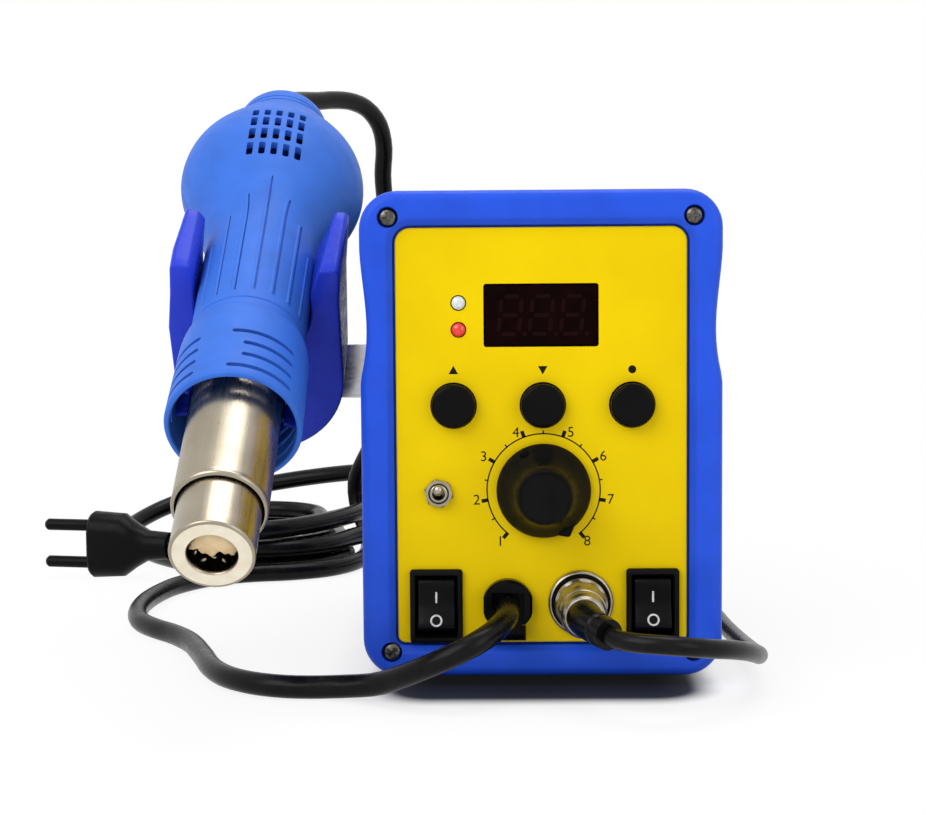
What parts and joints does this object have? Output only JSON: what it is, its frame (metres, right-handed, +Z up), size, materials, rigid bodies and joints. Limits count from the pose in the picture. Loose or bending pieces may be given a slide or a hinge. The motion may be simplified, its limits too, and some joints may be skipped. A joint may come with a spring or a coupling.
{
  "type": "hot air rework station",
  "caption": "Bench rework station with a waisted front, display, buttons and dial, a hot air handpiece lying in a side cradle, a soldering iron on a round connector, cords and a mains plug.",
  "frame": {"origin": "middle of the base plate's underside; the four feet stand 5 mm below it", "axes": "+Z up, the control panel faces -Y, +X is to the right seen from the front"},
  "size_m": [0.2508, 0.4257, 0.1789],
  "materials": {
    "blue_plastic": "fine spark-eroded texture, satin",
    "cradle_plastic": "semi-gloss moulding",
    "yellow_panel": "satin enamel",
    "window_acrylic": "polished dark red acrylic",
    "led_upper": "clear milky lens",
    "led_lower": "red lens",
    "black_plastic": "satin",
    "black_rubber": "satin, soft PVC",
    "black_paint": "fine powder coat",
    "nickel": "bright nickel plate",
    "stainless": "brushed",
    "circuit_board": "solder mask",
    "pot_case": "dull plated can",
    "core_steel": "varnished laminations",
    "mica": "mica sheet"
  },
  "bodies": {
    "station": {"front_bezel": "blue_plastic", "rear_bezel": "blue_plastic", "bezel_screw_1": "nickel", "bezel_screw_2": "nickel", "bezel_screw_3": "nickel", "bezel_screw_4": "nickel", "control_panel": "yellow_panel", "display_window": "window_acrylic", "led_upper": "led_upper", "led_lower": "led_lower", "front_board": "circuit_board", "potentiometer": "pot_case", "toggle_body": "nickel", "toggle_nut": "nickel", "rocker_frame_left": "black_plastic", "rocker_frame_right": "black_plastic", "hot_air_gland": "black_plastic", "iron_socket": "nickel", "plug_body": "nickel", "plug_boot": "black_rubber", "case_cover": "black_paint", "case_base": "black_paint", "rear_panel": "black_paint", "mains_relief": "black_rubber", "foot_front_left": "black_rubber", "foot_front_right": "black_rubber", "foot_rear_left": "black_rubber", "foot_rear_right": "black_rubber", "transformer": "core_steel", "main_board": "circuit_board", "cradle": "cradle_plastic", "holder_bracket": "stainless", "mains_coil": "black_rubber", "mains_cord": "black_rubber", "mains_tail": "black_rubber", "mains_plug": "black_plastic", "handle_cord": "black_rubber", "iron_cord": "black_rubber", "iron_coil": "black_rubber", "iron_lead": "black_rubber"},
    "button_up": {"button_up": "black_plastic"},
    "button_down": {"button_down": "black_plastic"},
    "button_set": {"button_set": "black_plastic"},
    "air_knob": {"air_knob": "black_plastic"},
    "toggle_lever": {"toggle_lever": "nickel"},
    "rocker_left": {"rocker_paddle_left": "black_plastic"},
    "rocker_right": {"rocker_paddle_right": "black_plastic"},
    "coupling_ring": {"coupling_ring": "nickel"},
    "handle": {"nozzle_tube": "nickel", "barrel_tube": "nickel", "heater_former": "mica", "nozzle_shroud": "blue_plastic", "handle_shell_top": "blue_plastic", "handle_shell_bottom": "blue_plastic", "tail_cap": "blue_plastic", "handle_cord_relief": "black_rubber", "blower_housing": "black_plastic"},
    "impeller": {"impeller": "black_plastic"},
    "iron": {"iron_grip": "blue_plastic", "iron_barrel": "nickel"}
  },
  "joints": [
    {"name": "button_up_press", "type": "slide", "parent": "station", "child": "button_up", "axis": [0, 1, 0], "range_m": [0, 0.001], "stiffness_N_per_m": 900, "springref_m": -0.0005},
    {"name": "button_down_press", "type": "slide", "parent": "station", "child": "button_down", "axis": [0, 1, 0], "range_m": [0, 0.001], "stiffness_N_per_m": 900, "springref_m": -0.0005},
    {"name": "button_set_press", "type": "slide", "parent": "station", "child": "button_set", "axis": [0, 1, 0], "range_m": [0, 0.001], "stiffness_N_per_m": 900, "springref_m": -0.0005},
    {"name": "air_knob_turn", "type": "hinge", "parent": "station", "child": "air_knob", "pos_m": [0.0005, -0.0724, 0.0501], "axis": [0, 1, 0], "range_deg": [-280, 0]},
    {"name": "toggle_throw", "type": "hinge", "parent": "station", "child": "toggle_lever", "pos_m": [-0.0286, -0.0724, 0.0494], "axis": [1, 0, 0], "range_deg": [0, 25]},
    {"name": "rocker_left_rock", "type": "hinge", "parent": "station", "child": "rocker_left", "pos_m": [-0.0295, -0.0707, 0.0178], "axis": [1, 0, 0], "range_deg": [0, 20]},
    {"name": "rocker_right_rock", "type": "hinge", "parent": "station", "child": "rocker_right", "pos_m": [0.0307, -0.0707, 0.0178], "axis": [1, 0, 0], "range_deg": [0, 20]},
    {"name": "coupling_ring_turn", "type": "hinge", "parent": "station", "child": "coupling_ring", "pos_m": [0.0107, -0.0724, 0.0186], "axis": [0, -1, 0], "range_deg": [0, 540]},
    {"name": "handle_lift", "type": "slide", "parent": "station", "child": "handle", "axis": [0, -0.5373, 0.8434], "range_m": [0, 0.06]},
    {"name": "impeller_spin", "type": "hinge", "parent": "handle", "child": "impeller", "pos_m": [-0.0836, 0.01744, 0.13587], "axis": [0.1392, -0.5321, 0.8352], "continuous": true},
    {"name": "iron_lift", "type": "slide", "parent": "station", "child": "iron", "axis": [0, 0, 1], "range_m": [0, 0.05]}
  ]
}
